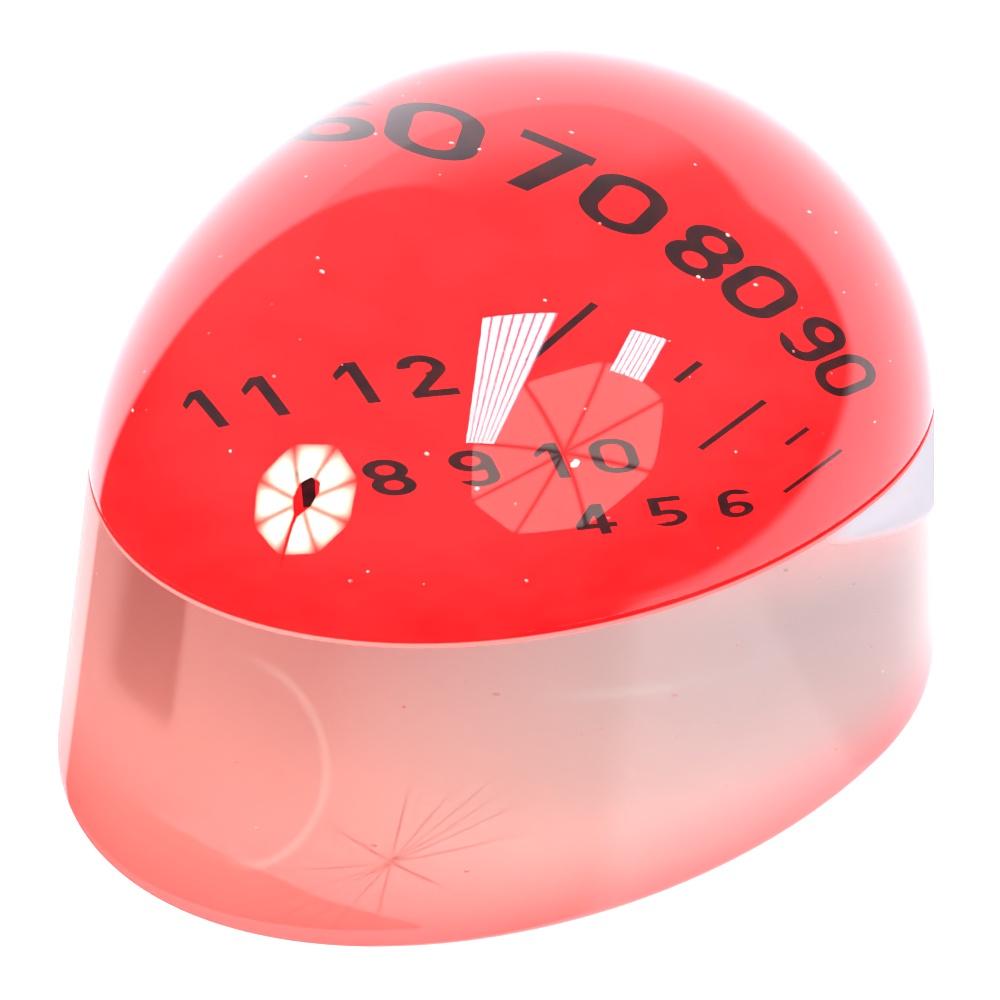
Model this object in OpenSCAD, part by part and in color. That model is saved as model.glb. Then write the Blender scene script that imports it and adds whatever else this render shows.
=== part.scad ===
// Colour-changing egg timer: a solid clear casting on an egg-shaped plan. A thin heat-sensitive disc
// lies level inside it, with a printed dial let in flush with the disc's upper face.
// X runs along the egg towards its blunt end, Z is up, and the origin is under the middle of the foot.

/* [Disc] */
// Length of the disc from its widest section to its blunt tip
disc_blunt = 22.9; // [19:0.1:28]
// Length of the disc from its widest section to its pointed tip
disc_point = 28.8; // [24:0.1:35]
// Half of the disc's width
disc_half_w = 20.8; // [17.3:0.1:26]
// Thickness of the heat-sensitive disc
disc_t = 0.5; // [0.3:0.05:1.5]

/* [Foot] */
// Height of the clear foot under the disc
foot_h = 16; // [8:0.5:25]
// How far the foot stands out past the disc at the blunt tip
flare_blunt = 1.0; // [0.5:0.1:4]
// How far the foot stands out past the disc at the pointed tip
flare_point = 3.3; // [0.5:0.1:5]
// How far the foot stands out past the disc at each side
flare_side = 1.0; // [0.5:0.1:4]
// Chamfer round the bottom edge of the foot
foot_chamfer = 0.4; // [0.1:0.1:1]

/* [Dome] */
// Height of the clear dome above the disc
dome_h = 17.1; // [12:0.1:24]
// How far below the disc the dome's own widest level would lie
dome_drop = 2.7; // [0.5:0.1:5]

/* [Print] */
// Thickness of the ink
ink_t = 0.1; // [0.05:0.01:0.2]
// How much wider the digits are drawn than the plain ones
digit_stretch = 1.2; // [1:0.05:1.3]
// Stroke of the digits, as a share of their height
stroke_share = 0.168; // [0.1:0.004:0.24]
// Height of the numerals on the arc
arc_numeral_h = 3.5; // [2:0.1:4.2]
// Clear space between two digits of one number on the arc
arc_space = 0.1; // [0.1:0.05:0.3]
// Extra distance from one number to the next on the arc
arc_gap = 0.6; // [0.3:0.05:1]
// Radius of the arc on which those numerals stand
arc_r = 40; // [30:1:80]
// Distance from the disc's widest section to the middle of the arc of numerals
arc_x = 6.9; // [5:0.1:7.5]
// Height of the minute numerals
minute_h = 2.6; // [1.6:0.1:3.2]
// Clear space between two digits of a minute row
minute_space = 0.4; // [0.1:0.05:0.5]
// Extra distance from one minute to the next
minute_gap = 1.05; // [0.3:0.05:1.3]
// Slope of the minute rows against the length of the egg
minute_slope = 41; // [35:1:45]
// Length of a long tick
tick_long = 5; // [3:0.1:5.2]
// Length of a short tick
tick_short = 1.85; // [1:0.05:2.5]
// Width of a tick
tick_w = 0.36; // [0.2:0.02:0.6]
// Distance from the disc's widest section to the blunt-end line that the ticks stand on
tick_x = 0.8; // [0.4:0.1:1.2]

/* [Hidden] */
$fn = 128;

foot_blunt = disc_blunt + flare_blunt;
foot_point = disc_point + flare_point;
foot_half_w = disc_half_w + flare_side;
// Where the widest section lies, so that the foot is centred on the origin
widest_x = (foot_point - foot_blunt) / 2;
disc_top = foot_h + disc_t;

// The dome is the top of an egg whose widest level lies below the disc
egg_h = dome_h + dome_drop;
egg_spread = 1 / sqrt(1 - pow(dome_drop / egg_h, 2));
// Larger than the casting, for cutting it in two
far = 4 * (foot_blunt + foot_point);

// Across the egg, the places of the ticks for hard, medium and soft, and of the two between them
long_tick_y = [-0.45, -9.1, -14.85];
short_tick_y = [-5.45, -12.05];

// Width of the widest digit before it is stretched, as a share of its height
zero_share = 0.66;
arc_pitch = zero_share * arc_numeral_h * digit_stretch + arc_space;
minute_pitch = zero_share * minute_h * digit_stretch + minute_space;

// A space between two numbers
SPACE = -1;
arc_digits = [6, 0, SPACE, 7, 0, SPACE, 8, 0, SPACE, 9, 0];
hard_digits = [1, 1, SPACE, 1, 2];
medium_digits = [7, SPACE, 8, SPACE, 9, SPACE, 1, 0];
soft_digits = [4, SPACE, 5, SPACE, 6];
// The middle of each minute row, from the widest section
hard_at = [-10.7, 4.7];
medium_at = [-12.1, -2.3];
soft_at = [-9.2, -11.1];

// ---- Outlines ----

module half_plane(side) {
  translate([side > 0 ? 0 : -far, -far]) square([far, 2 * far]);
}

// Two half ellipses that share their widest section
module egg_outline(blunt, point, half_w) {
  intersection() {
    scale([blunt, half_w]) circle(r = 1);
    half_plane(1);
  }
  intersection() {
    scale([point, half_w]) circle(r = 1);
    half_plane(-1);
  }
}

module egg_plate(blunt, point, half_w, thickness) {
  linear_extrude(thickness) egg_outline(blunt, point, half_w);
}

// ---- Digits, drawn from bars and arcs. Each is centred on its own origin ----

module ring(r, stroke) {
  difference() {
    circle(r = r);
    circle(r = r - stroke);
  }
}

module stadium(h, w) {
  for (end = [-1, 1]) translate([0, end * (h - w) / 2]) circle(r = w / 2);
  translate([-w / 2, -(h - w) / 2]) square([w, h - w]);
}

module loop(h, w, stroke) {
  difference() {
    stadium(h, w);
    stadium(h - 2 * stroke, w - 2 * stroke);
  }
}

// Radius of each of the two bowls of an eight, which the other round digits share
function bowl_r(h, stroke) = (h + stroke) / 4;

module bowl(h, stroke, end) {
  translate([0, end * (h / 2 - bowl_r(h, stroke))]) ring(bowl_r(h, stroke), stroke);
}

module digit_zero(h, stroke) {
  loop(h, zero_share * h, stroke);
}

module digit_one(h, stroke) {
  flag = [-0.28 * h, 0.26 * h];
  translate([-stroke / 2, -h / 2]) square([stroke, h]);
  polygon([
    [-stroke / 2, h / 2], flag, flag - [0, 0.9 * stroke],
    [-stroke / 2, h / 2 - 1.2 * stroke]
  ]);
}

module digit_two(h, stroke) {
  r = bowl_r(h, stroke);
  // Where the round top turns into the straight slant, as an angle below the bowl's middle
  turn = 38;
  middle = [0, h / 2 - r];
  down = [cos(turn), -sin(turn)];
  leaves = middle + r * down;
  intersection() {
    bowl(h, stroke, 1);
    union() {
      translate([-r, middle[1]]) square([2 * r, r]);
      translate([0, leaves[1]]) square([r, r]);
    }
  }
  polygon([
    leaves, middle + (r - stroke) * down,
    [-r, 0.8 * stroke - h / 2], [1.3 * stroke - r, stroke - h / 2]
  ]);
  translate([-r, -h / 2]) square([2 * r, stroke]);
}

module digit_four(h, stroke) {
  r = bowl_r(h, stroke);
  shelf = -0.2 * h;
  post = 0.4 * r;
  translate([post - stroke / 2, -h / 2]) square([stroke, h]);
  translate([-r, shelf - stroke / 2]) square([2.1 * r, stroke]);
  polygon([
    [post - stroke / 2, h / 2], [-r, shelf + stroke / 2], [-r, shelf],
    [-r + stroke, shelf], [post, h / 2 - stroke]
  ]);
}

module digit_five(h, stroke) {
  r = bowl_r(h, stroke);
  spine = -0.88 * r;
  difference() {
    bowl(h, stroke, -1);
    translate([-r, 0.5 * r - h / 2]) square([0.75 * r, 0.95 * r]);
  }
  translate([spine, 1.35 * r - h / 2]) square([stroke, h - 1.35 * r]);
  translate([spine, h / 2 - stroke]) square([1.75 * r, stroke]);
}

module digit_six(h, stroke) {
  r = bowl_r(h, stroke);
  bowl(h, stroke, -1);
  intersection() {
    loop(h, 2 * r, stroke);
    union() {
      translate([-r, r - h / 2]) square([r, h - r]);
      translate([-r, h / 2 - 0.7 * r]) square([2 * r, 0.7 * r]);
    }
  }
}

module digit_seven(h, stroke) {
  r = bowl_r(h, stroke);
  toe = -0.35 * r;
  translate([-r, h / 2 - stroke]) square([2 * r, stroke]);
  polygon([
    [r, h / 2], [r - 1.2 * stroke, h / 2],
    [toe - 0.55 * stroke, -h / 2], [toe + 0.55 * stroke, -h / 2]
  ]);
}

module digit_eight(h, stroke) {
  bowl(h, stroke, 1);
  bowl(h, stroke, -1);
}

module plain_digit(value, h, stroke) {
  if (value == 0) digit_zero(h, stroke);
  if (value == 1) digit_one(h, stroke);
  if (value == 2) digit_two(h, stroke);
  if (value == 4) digit_four(h, stroke);
  if (value == 5) digit_five(h, stroke);
  if (value == 6) digit_six(h, stroke);
  if (value == 7) digit_seven(h, stroke);
  if (value == 8) digit_eight(h, stroke);
  if (value == 9) rotate(180) digit_six(h, stroke);
}

module digit(value, h) {
  scale([digit_stretch, 1]) plain_digit(value, h, stroke_share * h);
}

// How far along its row a digit stands
function reach(digits, i, pitch, gap) =
  i == 0 ? 0 : reach(digits, i - 1, pitch, gap) + (digits[i] == SPACE ? gap : pitch);

// ---- The print, as flat outlines ----

// A straight row of digits, centred on its own origin
module digit_row(digits, h, pitch, gap) {
  last = len(digits) - 1;
  for (i = [0 : last]) if (digits[i] != SPACE)
    translate([reach(digits, i, pitch, gap) - reach(digits, last, pitch, gap) / 2, 0])
      digit(digits[i], h);
}

// The numerals stand on an arc that bulges towards the blunt tip, with their heads outwards
module arc_outline() {
  last = len(arc_digits) - 1;
  middle = reach(arc_digits, last, arc_pitch, arc_gap) / 2;
  for (i = [0 : last]) if (arc_digits[i] != SPACE) {
    turn = (middle - reach(arc_digits, i, arc_pitch, arc_gap)) / arc_r * 180 / PI;
    translate([arc_x - arc_r, 0]) rotate(turn) translate([arc_r, 0]) rotate(-90)
      digit(arc_digits[i], arc_numeral_h);
  }
}

module minute_outline(digits, at) {
  translate(at) rotate(-minute_slope) digit_row(digits, minute_h, minute_pitch, minute_gap);
}

module tick_outline(places, length) {
  for (y = places) translate([tick_x - length, y - tick_w / 2]) square([length, tick_w]);
}

// Lays flat outlines in the disc's upper face, as solids of the given thickness
module lay_in_disc(thickness) {
  translate([widest_x, 0, disc_top - ink_t]) linear_extrude(thickness) children();
}

module whole_print_outline() {
  arc_outline();
  minute_outline(hard_digits, hard_at);
  minute_outline(medium_digits, medium_at);
  minute_outline(soft_digits, soft_at);
  tick_outline(long_tick_y, tick_long);
  tick_outline(short_tick_y, tick_short);
}

// ---- Sub-parts ----

// The lower casting: a wall that leans out to the foot, with a chamfered bottom edge
module foot_casting() {
  sliver = 0.01;
  color([0.95, 0.76, 0.73, 0.6]) translate([widest_x, 0, 0]) hull() {
    egg_plate(foot_blunt - foot_chamfer, foot_point - foot_chamfer, foot_half_w - foot_chamfer, sliver);
    translate([0, 0, foot_chamfer]) egg_plate(foot_blunt, foot_point, foot_half_w, sliver);
    translate([0, 0, foot_h - sliver]) egg_plate(disc_blunt, disc_point, disc_half_w, sliver);
  }
}

// The heat-sensitive layer, with a shallow recess for each mark of the print
module thermal_disc() {
  color([0.95, 0.12, 0.14]) difference() {
    translate([widest_x, 0, foot_h]) egg_plate(disc_blunt, disc_point, disc_half_w, disc_t);
    lay_in_disc(2 * ink_t) whole_print_outline();
  }
}

// One half of the egg that the dome is cut from, on the blunt or the pointed side
module half_egg(length, side) {
  intersection() {
    scale([length * egg_spread, disc_half_w * egg_spread, egg_h]) sphere(r = 1);
    translate([side > 0 ? 0 : -far, -far, dome_drop]) cube([far, 2 * far, far]);
  }
}

module dome_casting() {
  color([0.97, 0.45, 0.47, 0.5]) translate([widest_x, 0, disc_top - dome_drop]) {
    half_egg(disc_blunt, 1);
    half_egg(disc_point, -1);
  }
}

module arc_numerals() {
  color([0.22, 0.09, 0.1]) lay_in_disc(ink_t) arc_outline();
}

module hard_numerals() {
  color([0.22, 0.09, 0.1]) lay_in_disc(ink_t) minute_outline(hard_digits, hard_at);
}

module medium_numerals() {
  color([0.22, 0.09, 0.1]) lay_in_disc(ink_t) minute_outline(medium_digits, medium_at);
}

module soft_numerals() {
  color([0.22, 0.09, 0.1]) lay_in_disc(ink_t) minute_outline(soft_digits, soft_at);
}

module long_ticks() {
  color([0.22, 0.09, 0.1]) lay_in_disc(ink_t) tick_outline(long_tick_y, tick_long);
}

module short_ticks() {
  color([0.22, 0.09, 0.1]) lay_in_disc(ink_t) tick_outline(short_tick_y, tick_short);
}

foot_casting();
thermal_disc();
dome_casting();
arc_numerals();
hard_numerals();
medium_numerals();
soft_numerals();
long_ticks();
short_ticks();
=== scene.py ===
"""Looks of the colour-changing egg timer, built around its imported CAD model. Lengths are in metres."""

import math
import random

import bmesh
import bpy
from mathutils import Matrix, Vector


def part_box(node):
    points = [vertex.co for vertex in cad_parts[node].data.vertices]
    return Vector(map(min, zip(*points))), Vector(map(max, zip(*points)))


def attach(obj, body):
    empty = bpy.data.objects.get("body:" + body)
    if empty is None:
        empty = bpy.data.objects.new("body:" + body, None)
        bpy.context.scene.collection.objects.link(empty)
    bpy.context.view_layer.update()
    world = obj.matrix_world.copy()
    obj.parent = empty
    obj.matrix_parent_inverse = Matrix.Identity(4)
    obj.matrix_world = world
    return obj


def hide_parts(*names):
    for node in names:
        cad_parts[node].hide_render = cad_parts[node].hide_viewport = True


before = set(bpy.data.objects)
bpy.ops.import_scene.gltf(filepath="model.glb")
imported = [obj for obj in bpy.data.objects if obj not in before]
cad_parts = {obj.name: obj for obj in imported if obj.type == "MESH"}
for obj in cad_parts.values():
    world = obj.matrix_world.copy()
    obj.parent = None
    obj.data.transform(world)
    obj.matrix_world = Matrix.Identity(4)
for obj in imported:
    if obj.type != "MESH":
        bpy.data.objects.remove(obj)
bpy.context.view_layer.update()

# ---- Sizes read from the CAD parts ----

foot_low, foot_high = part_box("foot_casting")
disc_low, disc_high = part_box("thermal_disc")
dome_low, dome_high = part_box("dome_casting")
# The egg's two halves meet at its widest section, where the disc's mesh reaches furthest sideways.
widest_x = max(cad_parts["thermal_disc"].data.vertices, key=lambda v: v.co.y).co.x

# ---- Sizes of the looks ----

MM = 0.001
AROUND = 256  # points round each outline
FOOT_RINGS, DOME_RINGS = 24, 96
DOME_DROP = 2.7 * MM  # the egg's widest level lies this far below the disc
SEAM_ROUND = 0.07 * MM  # the rounded edges where the castings meet the disc
OVERLAP = 0.03 * MM  # how far clear resin reaches into the disc, so that no two faces coincide
FOOT_ROUND = 0.7 * MM
FLOOR_GAP = 0.05 * MM
BUBBLE_MARGIN = 0.6 * MM
RESIN_IOR = 1.52
# Colours of the foot's cloudy wall, with the red disc's light painted in, from the underside up to the disc:
# round the pointed end and the blunt end
CORAL = [(0.33, 0.045, 0.046), (0.38, 0.135, 0.14), (0.38, 0.14, 0.145)]
BEIGE = [(0.34, 0.03, 0.035), (0.44, 0.33, 0.325), (0.48, 0.40, 0.41)]
WALL_TOP = 16  # the foot's height in millimetres
CORAL_HEIGHTS, BEIGE_HEIGHTS = (0.0, 0.4, 1.0), (0.0, 0.3, 1.0)  # where those colours lie, as shares of it
SKIN_SHARE, SKIN_BACK = 0.34, 0.4  # how cloudy the foot's wall is in front, and how much more it is behind
# Painted shade and painted pale light on the foot's wall
PAINTED_SHADE_COLOUR, PAINTED_PALE_LIGHT = (0.2, 0.025, 0.025), (0.3, 0.3, 0.34)
# Painted reflections on the foot's wall
CURVED_PAINTED_REFLECTION, STRAIGHT_PAINTED_REFLECTION, PAINTED_RIB_REFLECTION = (0.5, 0.3, 0.3), (0.5, 0.45, 0.46), (0.2, 0.0, 0.0)

CAMERA_AZIMUTH = -59.5
CAMERA_ELEVATION = 29.4
CAMERA_ROLL = 1.56
CAMERA_DISTANCE = 253.4 * MM
CAMERA_LENS = 170.3
SENSOR = 36.0
CAMERA_TARGET = Vector((4.1 * MM, 0, 14.1 * MM))
CAMERA_RIGHT, CAMERA_UP = -1.893, -4.256  # the camera's place across its view of the target, in millimetres


def direction(azimuth, elevation):
    """Unit vector at an azimuth turned from +X towards +Y and an elevation above the horizon, in degrees."""
    a, e = math.radians(azimuth), math.radians(elevation)
    return Vector((math.cos(a) * math.cos(e), math.sin(a) * math.cos(e), math.sin(e)))


# ---- Camera ----

def make_camera():
    a, e = math.radians(CAMERA_AZIMUTH), math.radians(CAMERA_ELEVATION)
    back = Vector((math.sin(a) * math.cos(e), -math.cos(a) * math.cos(e), math.sin(e)))
    right = Vector((math.cos(a), math.sin(a), 0))
    up = back.cross(right)
    turn = Matrix((right, up, back)).transposed().to_4x4()
    turn @= Matrix.Rotation(math.radians(CAMERA_ROLL), 4, "Z")
    x, y = turn.col[0].to_3d(), turn.col[1].to_3d()
    place = CAMERA_TARGET + x * CAMERA_RIGHT * MM + y * CAMERA_UP * MM + back * CAMERA_DISTANCE
    data = bpy.data.cameras.new("camera")
    data.lens, data.sensor_width = CAMERA_LENS, SENSOR
    data.clip_start, data.clip_end = 0.01, 10
    camera = bpy.data.objects.new("camera", data)
    camera.matrix_world = Matrix.Translation(place) @ turn
    bpy.context.scene.collection.objects.link(camera)
    bpy.context.scene.camera = camera


# ---- Mesh building ----

def egg_point(angle, blunt, point, half_width, z):
    """A point on an egg outline, from the lengths of its two ends and its half width."""
    c, s = math.cos(angle), math.sin(angle)
    return (widest_x + (blunt if c > 0 else point) * c, half_width * s, z)


def lathe_egg(name, outlines, close_top):
    """A closed solid through egg outlines, each (blunt, point, half_width, z), from the bottom up."""
    angles = [2 * math.pi * i / AROUND for i in range(AROUND)]
    points, faces = [], []
    for blunt, point, half_width, z in outlines:
        points += [egg_point(a, blunt, point, half_width, z) for a in angles]
    for ring in range(len(outlines) - 1):
        low, high = ring * AROUND, (ring + 1) * AROUND
        for i in range(AROUND):
            j = (i + 1) % AROUND
            faces.append((low + i, low + j, high + j, high + i))
    faces.append(tuple(reversed(range(AROUND))))
    last = (len(outlines) - 1) * AROUND
    if close_top:
        points.append((widest_x, 0, close_top))
        faces += [(last + i, last + (i + 1) % AROUND, len(points) - 1) for i in range(AROUND)]
    else:
        faces.append(tuple(range(last, last + AROUND)))
    mesh = bpy.data.meshes.new(name)
    mesh.from_pydata(points, [], faces)
    mesh.shade_smooth()
    mesh.set_sharp_from_angle(angle=math.radians(40))
    piece = bpy.data.objects.new(name, mesh)
    bpy.context.scene.collection.objects.link(piece)
    return piece


def shrink(outline, by, z):
    return (outline[0] - by, outline[1] - by, outline[2] - by, z)


def rounded_edge(outline, radius, z, up, steps=6):
    """Outlines round a quarter-circle edge between the flat face at z and the wall, from the bottom up.

    The wall lies above the flat face if up, else below it.
    """
    turns = [math.pi / 2 * i / steps for i in range(steps + 1)]
    if not up:
        turns.reverse()
    sign = 1 if up else -1
    return [shrink(outline, radius * (1 - math.sin(t)), z + sign * radius * (1 - math.cos(t))) for t in turns]


foot_outline = (foot_high.x - widest_x, widest_x - foot_low.x, foot_high.y)
disc_outline = (disc_high.x - widest_x, widest_x - disc_low.x, disc_high.y)


def make_foot():
    """The foot's straight wall leans in from its own outline to the disc's."""
    outlines = rounded_edge(foot_outline, FOOT_ROUND, foot_low.z, True)
    for i in range(1, FOOT_RINGS):
        t = i / FOOT_RINGS
        side = [f + (d - f) * t for f, d in zip(foot_outline, disc_outline)]
        z = foot_low.z + FOOT_ROUND + (foot_high.z - SEAM_ROUND - foot_low.z - FOOT_ROUND) * t
        outlines.append((*side, z))
    outlines += rounded_edge(disc_outline, SEAM_ROUND, foot_high.z + OVERLAP, False)
    return lathe_egg("clear_foot", outlines, None)


def make_dome():
    """The part of an egg that lies above the disc, a little above the egg's widest level."""
    egg_height = dome_high.z - dome_low.z + DOME_DROP
    spread = 1 / math.sqrt(1 - (DOME_DROP / egg_height) ** 2)
    start = math.asin((DOME_DROP + SEAM_ROUND) / egg_height)
    outlines = rounded_edge(disc_outline, SEAM_ROUND, dome_low.z - OVERLAP, True)
    for i in range(1, DOME_RINGS):
        t = start + (math.pi / 2 - start) * i / DOME_RINGS
        side = [d * spread * math.cos(t) for d in disc_outline]
        outlines.append((*side, dome_low.z - DOME_DROP + egg_height * math.sin(t)))
    return lathe_egg("clear_dome", outlines, dome_high.z)


def make_bubbles(name, count, seed, low_z, high_z, reach, sizes):
    """Tiny flattened bubbles in a casting. reach gives its width at a height, as a share of the disc's."""
    rng = random.Random(seed)
    shape = bmesh.new()
    for _ in range(count):
        angle, out_by = rng.uniform(0, 2 * math.pi), math.sqrt(rng.random())
        z = low_z + (high_z - low_z) * rng.random() ** 2
        size = rng.uniform(*sizes)
        width = out_by * reach(z)
        place = Vector(egg_point(angle, *[width * d for d in disc_outline], z))
        squash = Matrix.Diagonal((rng.uniform(0.7, 1.6), rng.uniform(0.7, 1.3), rng.uniform(0.5, 1), 1))
        spin = Matrix.Rotation(rng.uniform(0, math.pi), 4, "Z")
        pose = Matrix.Translation(place) @ spin @ squash
        bmesh.ops.create_icosphere(shape, subdivisions=2, radius=size, matrix=pose)
    mesh = bpy.data.meshes.new(name)
    shape.to_mesh(mesh)
    shape.free()
    mesh.shade_smooth()
    bubbles = bpy.data.objects.new(name, mesh)
    bpy.context.scene.collection.objects.link(bubbles)
    return bubbles


# ---- Materials ----

def node_material(name):
    material = bpy.data.materials.new(name)
    material.use_nodes = True
    nodes, links = material.node_tree.nodes, material.node_tree.links
    nodes.clear()
    out = nodes.new("ShaderNodeOutputMaterial")
    return material, nodes, links, out


def noise(nodes, links, scale, detail=3.0, roughness=0.5):
    where = nodes.new("ShaderNodeTexCoord")
    texture = nodes.new("ShaderNodeTexNoise")
    texture.inputs["Scale"].default_value = scale
    texture.inputs["Detail"].default_value = detail
    texture.inputs["Roughness"].default_value = roughness
    links.new(where.outputs["Object"], texture.inputs["Vector"])
    return texture


def ramp(nodes, links, source, stops):
    node = nodes.new("ShaderNodeValToRGB")
    while len(node.color_ramp.elements) < len(stops):
        node.color_ramp.elements.new(0.5)
    for element, (place, colour) in zip(node.color_ramp.elements, stops):
        element.position, element.color = place, (*colour, 1)
    links.new(source, node.inputs["Fac"])
    return node


def maths_for(nodes, links):
    """A shorthand for maths nodes, whose inputs are numbers or sockets."""
    def maths(operation, a, b):
        node = nodes.new("ShaderNodeMath")
        node.operation = operation
        for socket, value in zip(node.inputs, (a, b)):
            if isinstance(value, (int, float)):
                socket.default_value = value
            else:
                links.new(value, socket)
        return node.outputs["Value"]
    return maths


def smooth_step(nodes, links, value, start, end):
    """0 to 1, smoothly, as a value goes from start to end."""
    node = nodes.new("ShaderNodeMapRange")
    node.interpolation_type = "SMOOTHSTEP"
    node.inputs["From Min"].default_value = start
    node.inputs["From Max"].default_value = end
    links.new(value, node.inputs["Value"])
    return node.outputs["Result"]


def product(maths, *values):
    total = values[0]
    for value in values[1:]:
        total = maths("MULTIPLY", total, value)
    return total


def object_place(nodes, links):
    """Sockets for a point's X, Y and Z in its object's own frame."""
    where = nodes.new("ShaderNodeTexCoord")
    part = nodes.new("ShaderNodeSeparateXYZ")
    links.new(where.outputs["Object"], part.inputs["Vector"])
    return part.outputs["X"], part.outputs["Y"], part.outputs["Z"]


def mixed(nodes, links, share, first, second):
    """A mix of two shaders, by a number or a socket."""
    node = nodes.new("ShaderNodeMixShader")
    if isinstance(share, float):
        node.inputs["Fac"].default_value = share
    else:
        links.new(share, node.inputs["Fac"])
    links.new(first, node.inputs[1])
    links.new(second, node.inputs[2])
    return node.outputs["Shader"]


def egg_distance(nodes, links, outline):
    """How far out a point lies in plan: 0 at the widest section's middle, 1 on the egg outline."""
    x, y, z = object_place(nodes, links)
    maths = maths_for(nodes, links)
    along = maths("SUBTRACT", x, widest_x)
    blunt = maths("DIVIDE", maths("MAXIMUM", along, 0), outline[0])
    point = maths("DIVIDE", maths("MINIMUM", along, 0), outline[1])
    across = maths("DIVIDE", y, outline[2])
    total = maths("ADD", maths("MULTIPLY", blunt, blunt), maths("MULTIPLY", point, point))
    total = maths("ADD", total, maths("MULTIPLY", across, across))
    return maths("SQRT", total, 0), z, maths


def ground_underside_with_painted_light(nodes, links, body, share):
    """Scatters light at the foot's flat underside, which is ground and not polished, with the red disc's light
    painted into its colour: pale in the middle, deep red at the rim.
    """
    out_by, height, maths = egg_distance(nodes, links, foot_outline)
    # Painted light: the disc's red light on the underside, pale pink in the middle and deep red at the rim
    stops = [(0.2, (0.74, 0.46, 0.43)), (0.7, (0.66, 0.22, 0.21)), (1.0, (0.58, 0.06, 0.06))]
    glow = ramp(nodes, links, out_by, stops)
    ground = nodes.new("ShaderNodeBsdfDiffuse")
    links.new(glow.outputs["Color"], ground.inputs["Color"])
    through = nodes.new("ShaderNodeBsdfTranslucent")
    links.new(glow.outputs["Color"], through.inputs["Color"])
    both = mixed(nodes, links, 0.5, ground.outputs["BSDF"], through.outputs["BSDF"])
    under = maths("MULTIPLY", maths("LESS_THAN", height, foot_low.z + 0.1 * FOOT_ROUND), share)
    return mixed(nodes, links, under, body, both)


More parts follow.
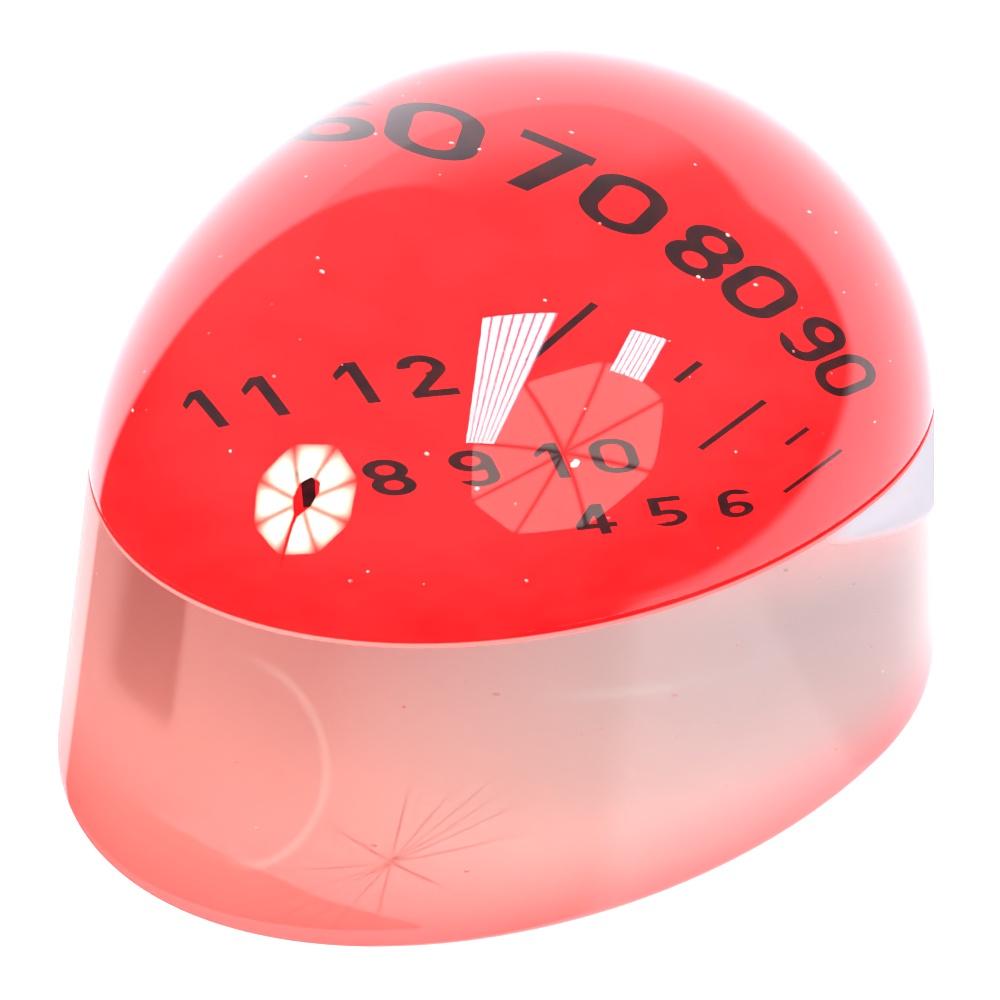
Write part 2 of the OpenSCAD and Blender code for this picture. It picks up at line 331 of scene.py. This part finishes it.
def cloudy_wall_with_painted_light(nodes, links, body):
    """A cloudy wall with painted light: coral at the underside and the pointed end, paler towards the disc and
    the blunt end, for the red disc's light in the resin, with painted shade and painted reflections on it.
    """
    x, y, z = object_place(nodes, links)
    maths = maths_for(nodes, links)

    def step(value, start, end):
        return smooth_step(nodes, links, value, start, end)

    def times(*values):
        return product(maths, *values)

    def blend(share, first, second):
        node = nodes.new("ShaderNodeMix")
        node.data_type = "RGBA"
        links.new(share, node.inputs["Factor"])
        for socket, colour in ((node.inputs["A"], first), (node.inputs["B"], second)):
            if isinstance(colour, tuple):
                socket.default_value = (*colour, 1)
            else:
                links.new(colour, socket)
        return node.outputs["Result"]

    # Places on the wall: degrees round from the pointed tip towards -Y, and millimetres up from the underside
    along = maths("DIVIDE", maths("SUBTRACT", widest_x, x), foot_outline[1])
    across = maths("DIVIDE", maths("MULTIPLY", y, -1), foot_outline[2])
    turn = maths("MULTIPLY", maths("ARCTAN2", across, along), 180 / math.pi)
    up = maths("DIVIDE", maths("SUBTRACT", z, foot_low.z), MM)

    # Painted light: the red disc's light in the wall, coral low down and at the pointed end
    up_share = maths("DIVIDE", up, WALL_TOP)
    coral = ramp(nodes, links, up_share, list(zip(CORAL_HEIGHTS, CORAL)))
    beige = ramp(nodes, links, up_share, list(zip(BEIGE_HEIGHTS, BEIGE)))
    colour = blend(step(turn, 8, 70), coral.outputs["Color"], beige.outputs["Color"])

    # Painted shade: a darker patch under the disc's edge, near the pointed tip
    dark = times(step(turn, -27, -20), step(turn, -7.5, -9.5), step(up, 8.5, 10.5))
    colour = blend(maths("MULTIPLY", dark, 0.75), colour, PAINTED_SHADE_COLOUR)
    # Painted reflection: a faint curved streak, half of an oval round ring_at, with ring_radii
    ring_at, ring_radii = (4, 9), (12, 5.2)
    ring_x = maths("DIVIDE", maths("SUBTRACT", turn, ring_at[0]), ring_radii[0])
    ring_y = maths("DIVIDE", maths("SUBTRACT", up, ring_at[1]), ring_radii[1])
    ring = maths("SQRT", maths("ADD", times(ring_x, ring_x), times(ring_y, ring_y)), 0)
    from_ring = maths("ABSOLUTE", maths("SUBTRACT", ring, 1), 0)
    arc = times(step(from_ring, 0.08, 0.0), step(ring_x, -0.4, 0.5))
    colour = blend(maths("MULTIPLY", arc, 0.45), colour, CURVED_PAINTED_REFLECTION)
    # Painted reflection: a faint straight streak, which starts at streak_at and drops by streak_fall for each
    # degree round
    streak_at, streak_fall = (43, 12.9), 0.075
    level = maths("SUBTRACT", streak_at[1] + streak_at[0] * streak_fall, maths("MULTIPLY", turn, streak_fall))
    line = maths("SUBTRACT", up, level)
    streak = times(step(maths("ABSOLUTE", line, 0), 0.5, 0.0), step(turn, 40, 50), step(turn, 84, 66))
    colour = blend(maths("MULTIPLY", streak, 0.55), colour, STRAIGHT_PAINTED_REFLECTION)
    # Painted reflection of an umbrella's ribs: thin lines that fan out from fan_at, along a slant. fan_turn is
    # about the millimetres of wall in a degree
    fan_at, fan_turn, fan_lines = (25, 4.9), 0.5, 7
    fan_x = maths("MULTIPLY", maths("SUBTRACT", turn, fan_at[0]), fan_turn)
    fan_y = maths("SUBTRACT", up, fan_at[1])
    fan_u = maths("ADD", maths("MULTIPLY", fan_x, 0.254), maths("MULTIPLY", fan_y, 0.129))
    fan_v = maths("SUBTRACT", maths("MULTIPLY", fan_y, 0.89), maths("MULTIPLY", fan_x, 0.45))
    fan_out = maths("SQRT", maths("ADD", times(fan_u, fan_u), times(fan_v, fan_v)), 0)
    fan_angle = maths("ARCTAN2", fan_v, fan_u)
    wave = maths("ABSOLUTE", maths("SINE", maths("MULTIPLY", fan_angle, fan_lines), 0), 0)
    fan = times(step(times(wave, fan_out), 0.32, 0.08), step(fan_out, 4.2, 1.2))
    colour = blend(maths("MULTIPLY", fan, 0.75), colour, PAINTED_RIB_REFLECTION)
    # Painted light: a pale patch under the disc at the blunt end, with a slanting lower edge
    slant = maths("ADD", up, maths("MULTIPLY", turn, 0.187))
    pale = times(step(slant, 30.2, 30.9), step(turn, 78, 84), step(turn, 128, 112))
    colour = blend(pale, colour, PAINTED_PALE_LIGHT)
    skin = nodes.new("ShaderNodeBsdfDiffuse")
    links.new(colour, skin.inputs["Color"])
    behind = maths("ADD", step(turn, -22, -55), step(turn, 95, 135))
    share = maths("ADD", SKIN_SHARE, maths("MULTIPLY", behind, SKIN_BACK))
    share = maths("MINIMUM", maths("ADD", share, maths("MULTIPLY", pale, 0.6)), 1)
    side = nodes.new("ShaderNodeNewGeometry")
    share = maths("MULTIPLY", share, maths("SUBTRACT", 1, side.outputs["Backfacing"]))
    return mixed(nodes, links, share, body, skin.outputs["BSDF"])


def clear_resin(name, tint, wave_height, milk=0.0, haze=0.0, haze_colour=(1, 1, 1), stain_density=0.0):
    """Cast resin, which lets lamplight through to what is inside it.

    milk says how much the ground underside scatters, and turns on the cloudy wall with its painted light,
    painted shade and painted reflections. haze and stain_density are the volume's scattering and absorption,
    per metre.
    """
    material, nodes, links, out = node_material(name)
    resin = nodes.new("ShaderNodeBsdfPrincipled")
    resin.inputs["Base Color"].default_value = (*tint, 1)
    resin.inputs["Transmission Weight"].default_value = 1.0
    resin.inputs["IOR"].default_value = RESIN_IOR
    resin.inputs["Roughness"].default_value = 0.0
    waves = noise(nodes, links, 55, 2)
    bump = nodes.new("ShaderNodeBump")
    bump.inputs["Strength"].default_value = 1.0
    bump.inputs["Distance"].default_value = wave_height
    links.new(waves.outputs["Fac"], bump.inputs["Height"])
    links.new(bump.outputs["Normal"], resin.inputs["Normal"])
    body = resin.outputs["BSDF"]
    if milk:
        body = ground_underside_with_painted_light(nodes, links, body, milk)
        body = cloudy_wall_with_painted_light(nodes, links, body)
    see = nodes.new("ShaderNodeBsdfTransparent")
    path = nodes.new("ShaderNodeLightPath")
    surface = mixed(nodes, links, path.outputs["Is Shadow Ray"], body, see.outputs["BSDF"])
    links.new(surface, out.inputs["Surface"])
    if haze:
        cloud = nodes.new("ShaderNodeVolumeScatter")
        cloud.inputs["Color"].default_value = (*haze_colour, 1)
        cloud.inputs["Density"].default_value = haze
        cloud.inputs["Anisotropy"].default_value = 0.2
        stain = nodes.new("ShaderNodeVolumeAbsorption")
        stain.inputs["Color"].default_value = (1, 0.08, 0, 1)
        stain.inputs["Density"].default_value = stain_density
        volume = nodes.new("ShaderNodeAddShader")
        links.new(cloud.outputs["Volume"], volume.inputs[0])
        links.new(stain.outputs["Volume"], volume.inputs[1])
        links.new(volume.outputs["Shader"], out.inputs["Volume"])
    return material


def thermal_red():
    """Faintly mottled red, and a paler red from the disc's underside up to pale_top."""
    pale_top, red_from = 0.2 * MM, 0.26 * MM
    material, nodes, links, out = node_material("thermal_red")
    layer = nodes.new("ShaderNodeBsdfPrincipled")
    mottle = noise(nodes, links, 400, 4, 0.6)
    stops = [(0.3, (0.9, 0.005, 0.0065)), (0.75, (0.94, 0.0095, 0.0115))]
    colour = ramp(nodes, links, mottle.outputs["Fac"], stops)
    rim = nodes.new("ShaderNodeMix")
    rim.data_type = "RGBA"
    rim.inputs["A"].default_value = (0.95, 0.12, 0.12, 1)
    upper = nodes.new("ShaderNodeMapRange")
    upper.inputs["From Min"].default_value = disc_low.z + pale_top
    upper.inputs["From Max"].default_value = disc_low.z + red_from
    links.new(object_place(nodes, links)[2], upper.inputs["Value"])
    links.new(upper.outputs["Result"], rim.inputs["Factor"])
    links.new(colour.outputs["Color"], rim.inputs["B"])
    links.new(rim.outputs["Result"], layer.inputs["Base Color"])
    layer.inputs["Roughness"].default_value = 0.6
    layer.inputs["Specular IOR Level"].default_value = 0.0
    links.new(layer.outputs["BSDF"], out.inputs["Surface"])
    return material


def dial_ink():
    material, nodes, links, out = node_material("dial_ink")
    ink = nodes.new("ShaderNodeBsdfPrincipled")
    thin = noise(nodes, links, 900, 3, 0.6)
    stops = [(0.35, (0.012, 0.003, 0.004)), (0.8, (0.035, 0.005, 0.006))]
    colour = ramp(nodes, links, thin.outputs["Fac"], stops)
    links.new(colour.outputs["Color"], ink.inputs["Base Color"])
    ink.inputs["Roughness"].default_value = 0.7
    ink.inputs["Specular IOR Level"].default_value = 0.0
    links.new(ink.outputs["BSDF"], out.inputs["Surface"])
    return material


def bubble_with_painted_glint(name):
    """An air bubble in resin, with its bright glint painted into its colour as pale pink patches on red."""
    material, nodes, links, out = node_material(name)
    bright = nodes.new("ShaderNodeBsdfPrincipled")
    patchy = noise(nodes, links, 2500, 2)
    colour = ramp(nodes, links, patchy.outputs["Fac"], [(0.45, (0.75, 0.1, 0.1)), (0.65, (0.95, 0.6, 0.58))])
    links.new(colour.outputs["Color"], bright.inputs["Base Color"])
    bright.inputs["Roughness"].default_value = 0.3
    links.new(bright.outputs["BSDF"], out.inputs["Surface"])
    return material


def wear(node_name, material):
    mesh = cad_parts[node_name].data
    mesh.materials.clear()
    mesh.materials.append(material)


# ---- Stage ----

LIGHT_DISTANCE = 0.8


def hide_from_camera(light):
    """Lights the object and shows in its reflections, but not beside it."""
    light.visible_camera = False
    bpy.context.scene.collection.objects.link(light)


def glow_material(name, colour, strength):
    material, nodes, links, out = node_material(name)
    glow = nodes.new("ShaderNodeEmission")
    glow.inputs["Color"].default_value = (*colour, 1)
    glow.inputs["Strength"].default_value = strength
    links.new(glow.outputs["Emission"], out.inputs["Surface"])
    return material, nodes, links, glow


def make_window(name, corners, strength):
    """A bright window with a curtain's folds. corners are (azimuth, elevation), in order round it."""
    a, b, c, d = [direction(*corner) * LIGHT_DISTANCE for corner in corners]
    folds, fold_share, fold_glow = 7, 0.22, 0.35
    edges = [0.0]
    for i in range(folds):
        edges += [(i + 1 - fold_share) / folds, (i + 1) / folds]
    points = [p for t in edges for p in (a.lerp(b, t), d.lerp(c, t))]
    faces = [(2 * i, 2 * i + 2, 2 * i + 3, 2 * i + 1) for i in range(len(edges) - 1)]
    mesh = bpy.data.meshes.new(name)
    mesh.from_pydata(points, [], faces)
    mesh.materials.append(glow_material(name, (1, 0.96, 1), strength)[0])
    mesh.materials.append(glow_material(name + "_folds", (0.8, 0.6, 0.85), fold_glow * strength)[0])
    for i, polygon in enumerate(mesh.polygons):
        polygon.material_index = i % 2
    hide_from_camera(bpy.data.objects.new(name, mesh))


def make_umbrella(name, azimuth, elevation, radius, strength, colour, rib, edge, lamp_at=(0, 0),
                  lamp_size=0.0, lamp_strength=0):
    """An eight-sided photographer's umbrella that glows between thin ribs, with the lamp in it as a hot spot.

    The cloth fades out over the share edge of its radius.
    """
    sides, rib_glow = 8, 0.1
    points = [(0, 0, 0)]
    for i in range(sides):
        a = 2 * math.pi * i / sides
        points.append((radius * math.cos(a), radius * math.sin(a), 0))
    mesh = bpy.data.meshes.new(name)
    mesh.from_pydata(points, [], [(0, i + 1, (i + 1) % sides + 1) for i in range(sides)])
    material, nodes, links, glow = glow_material(name, colour, strength)
    maths = maths_for(nodes, links)
    x, y, _ = object_place(nodes, links)
    out_by = maths("SQRT", maths("ADD", maths("MULTIPLY", x, x), maths("MULTIPLY", y, y)), 0)
    wave = maths("ABSOLUTE", maths("SINE", maths("MULTIPLY", maths("ARCTAN2", y, x), sides / 2), 0), 0)
    from_rib = maths("DIVIDE", maths("MULTIPLY", wave, out_by), sides / 2)
    beside_rib = maths("MINIMUM", maths("DIVIDE", from_rib, rib), 1)
    cloth = maths("ADD", rib_glow, maths("MULTIPLY", 1 - rib_glow, beside_rib))
    fade = maths("MINIMUM", maths("DIVIDE", maths("SUBTRACT", radius, out_by), edge * radius), 1)
    cloth = maths("MULTIPLY", cloth, maths("MAXIMUM", fade, 0))
    dx, dy = maths("SUBTRACT", x, lamp_at[0]), maths("SUBTRACT", y, lamp_at[1])
    lamp_far = maths("ADD", maths("MULTIPLY", dx, dx), maths("MULTIPLY", dy, dy))
    lamp = maths("MULTIPLY", maths("LESS_THAN", lamp_far, lamp_size ** 2), lamp_strength)
    links.new(maths("ADD", maths("MULTIPLY", cloth, strength), lamp), glow.inputs["Strength"])
    mesh.materials.append(material)
    light = bpy.data.objects.new(name, mesh)
    light.location = direction(azimuth, elevation) * LIGHT_DISTANCE
    light.rotation_euler = light.location.to_track_quat("Z", "Y").to_euler()
    hide_from_camera(light)
    return light


def make_flash_head(umbrella, outline, far):
    """A dark shape between an umbrella and the object: the flash head and its stand."""
    mesh = bpy.data.meshes.new("flash_head")
    mesh.from_pydata([(x, y, -far) for x, y in outline], [], [tuple(range(len(outline)))])
    mesh.materials.append(glow_material("flash_head", (0, 0, 0), 0)[0])
    head = bpy.data.objects.new("flash_head", mesh)
    head.location = umbrella.location
    head.rotation_euler = umbrella.rotation_euler
    hide_from_camera(head)


PAPER, PAPER_BLUE = 2.05, 1.08  # the paper sweep's brightness, and how much more of it is blue
ROOM, ROOM_BLUE = 0.5, 1.05  # the same for the room overhead
ROOM_LOW = 0.06  # the room's brightness low down
GLOW = 1.4  # the brightness above the paper


def make_world():
    """White all round for the camera. Other rays meet a white paper sweep behind the object and a dim room."""
    world = bpy.data.worlds.new("studio")
    world.use_nodes = True
    nodes, links = world.node_tree.nodes, world.node_tree.links
    nodes.clear()
    out = nodes.new("ShaderNodeOutputWorld")
    where = nodes.new("ShaderNodeTexCoord")

    def side_of(normal, offset, soft):
        """1 where a ray's direction lies on the normal's side of a plane, 0 on the other."""
        dot = nodes.new("ShaderNodeVectorMath")
        dot.operation = "DOT_PRODUCT"
        dot.inputs[1].default_value = normal
        links.new(where.outputs["Generated"], dot.inputs[0])
        return smooth_step(nodes, links, dot.outputs["Value"], offset - soft, offset + soft)

    maths = maths_for(nodes, links)
    part = nodes.new("ShaderNodeSeparateXYZ")
    links.new(where.outputs["Generated"], part.inputs["Vector"])
    x, y, z = part.outputs["X"], part.outputs["Y"], part.outputs["Z"]

    def step(value, start, end):
        return smooth_step(nodes, links, value, start, end)

    def times(*values):
        return product(maths, *values)

    # The paper's edges: one is an azimuth that falls with height, the other a plane. Angles are in radians
    azimuth = maths("ARCTAN2", y, x)
    left_limit = maths("SUBTRACT", 1.361, times(z, z, 0.946))
    left = step(maths("SUBTRACT", left_limit, azimuth), -0.03, 0.03)
    left = times(left, step(azimuth, -1.7, -1.5))
    right = side_of((-0.143, 0.764, -0.629), -0.63, 0.03)
    paper = times(right, left, step(z, 0.57, 0.5))
    glow_above = times(step(z, 0.87, 0.62), left, step(azimuth, -0.1, 0.15))
    paper = maths("MAXIMUM", paper, maths("MULTIPLY", glow_above, GLOW / PAPER))
    room = nodes.new("ShaderNodeMix")
    room.data_type = "RGBA"
    room.inputs["A"].default_value = (ROOM_LOW, ROOM_LOW, ROOM_LOW, 1)
    room.inputs["B"].default_value = (ROOM, ROOM, ROOM * ROOM_BLUE, 1)
    links.new(step(z, -0.15, 0.6), room.inputs["Factor"])
    mix = nodes.new("ShaderNodeMix")
    mix.data_type = "RGBA"
    links.new(room.outputs["Result"], mix.inputs["A"])
    mix.inputs["B"].default_value = (PAPER, PAPER, PAPER * PAPER_BLUE, 1)
    links.new(paper, mix.inputs["Factor"])
    rays = nodes.new("ShaderNodeLightPath")
    seen = nodes.new("ShaderNodeMix")
    seen.data_type = "RGBA"
    seen.inputs["B"].default_value = (1, 1, 1, 1)
    links.new(rays.outputs["Is Camera Ray"], seen.inputs["Factor"])
    links.new(mix.outputs["Result"], seen.inputs["A"])
    glow = nodes.new("ShaderNodeBackground")
    links.new(seen.outputs["Result"], glow.inputs["Color"])
    links.new(glow.outputs["Background"], out.inputs["Surface"])
    bpy.context.scene.world = world


def make_floor():
    """A round sheet of pale paper, most of it behind the object."""
    around = 96
    radius, middle = 0.42, direction(30, 0) * 0.30
    points = [middle + direction(360 * i / around, 0) * radius for i in range(around)]
    mesh = bpy.data.meshes.new("floor")
    mesh.from_pydata([(p.x, p.y, foot_low.z - FLOOR_GAP) for p in points], [], [tuple(range(around))])
    material, nodes, links, out = node_material("floor")
    paper = nodes.new("ShaderNodeBsdfPrincipled")
    paper.inputs["Base Color"].default_value = (0.93, 0.93, 0.93, 1)
    paper.inputs["Roughness"].default_value = 0.9
    paper.inputs["Specular IOR Level"].default_value = 0.2
    links.new(paper.outputs["BSDF"], out.inputs["Surface"])
    mesh.materials.append(material)
    floor = bpy.data.objects.new("floor", mesh)
    floor.visible_glossy = False
    bpy.context.scene.collection.objects.link(floor)


def make_lamp(name, azimuth, elevation, far, size, power):
    """A round lamp that aims at the object and shows neither in the picture nor in reflections."""
    data = bpy.data.lights.new(name, "AREA")
    data.shape, data.size, data.energy = "DISK", size, power
    lamp = bpy.data.objects.new(name, data)
    lamp.location = direction(azimuth, elevation) * far
    lamp.rotation_euler = lamp.location.to_track_quat("Z", "Y").to_euler()
    lamp.visible_glossy = False
    lamp.visible_camera = False
    bpy.context.scene.collection.objects.link(lamp)


# ---- Build ----

make_camera()

foot = make_foot()
foot.data.materials.append(clear_resin("clear_foot", (1, 0.97, 0.96), 0.03 * MM, milk=0.85, haze=12,
                                       haze_colour=(1, 0.8, 0.77), stain_density=7))
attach(foot, "root")
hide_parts("foot_casting")

dome = make_dome()
dome.data.materials.append(clear_resin("clear_dome", (1, 0.98, 0.98), 0.01 * MM))
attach(dome, "root")
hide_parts("dome_casting")


def dome_reach(z):
    """The dome's width at a height as a share of the disc's, less a margin."""
    return 0.93 * math.sqrt(max(0, 1 - ((z - dome_low.z) / (dome_high.z - dome_low.z)) ** 2))


dome_bubbles = make_bubbles("dome_bubbles", 80, 3, dome_low.z + 0.2 * MM, dome_high.z - 5 * MM, dome_reach,
                            (0.03 * MM, 0.1 * MM))
foot_bubbles = make_bubbles("foot_bubbles", 60, 8, foot_low.z + BUBBLE_MARGIN, foot_high.z - BUBBLE_MARGIN,
                            lambda z: 0.97, (0.04 * MM, 0.13 * MM))
for bubbles, slot in ((dome_bubbles, "clear_dome"), (foot_bubbles, "clear_foot")):
    bubbles.data.materials.append(bubble_with_painted_glint(bubbles.name))
    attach(bubbles, "root")

wear("thermal_disc", thermal_red())
ink = dial_ink()
for printed in ("arc_numerals", "hard_numerals", "medium_numerals", "soft_numerals", "long_ticks",
                "short_ticks"):
    wear(printed, ink)

make_floor()
make_world()
make_window("window_tall", [(-73, 85), (-60, 70), (-123, 52), (-134, 55)], 24)
make_window("window_small", [(-61, 54), (-60, 46), (-74, 44), (-77, 52)], 24)
make_umbrella("umbrella_soft", -103, 41, 0.34, 4.0, (1, 0.9, 0.85), 0.013, 0.06, (0.02, -0.06), 0.014, 40)
bright = make_umbrella("umbrella_bright", 165, 34, 0.26, 64, (1, 0.92, 0.72), 0.04, 0.4)
make_flash_head(bright, [(-0.045, 0.0), (-0.05, 0.06), (-0.02, 0.1), (0.03, 0.1), (0.05, 0.06), (0.045, 0.0),
                         (0.01, -0.06), (0.03, -0.3), (0.016, -0.3), (-0.006, -0.06)], 0.05)
make_lamp("top_lamp", 60, 75, 0.7, 0.5, 10)

scene = bpy.context.scene
scene.view_settings.view_transform = "Standard"
scene.cycles.caustics_refractive = False
scene.cycles.caustics_reflective = False
scene.cycles.transparent_max_bounces = 16
scene.cycles.transmission_bounces = 16
scene.cycles.max_bounces = 20
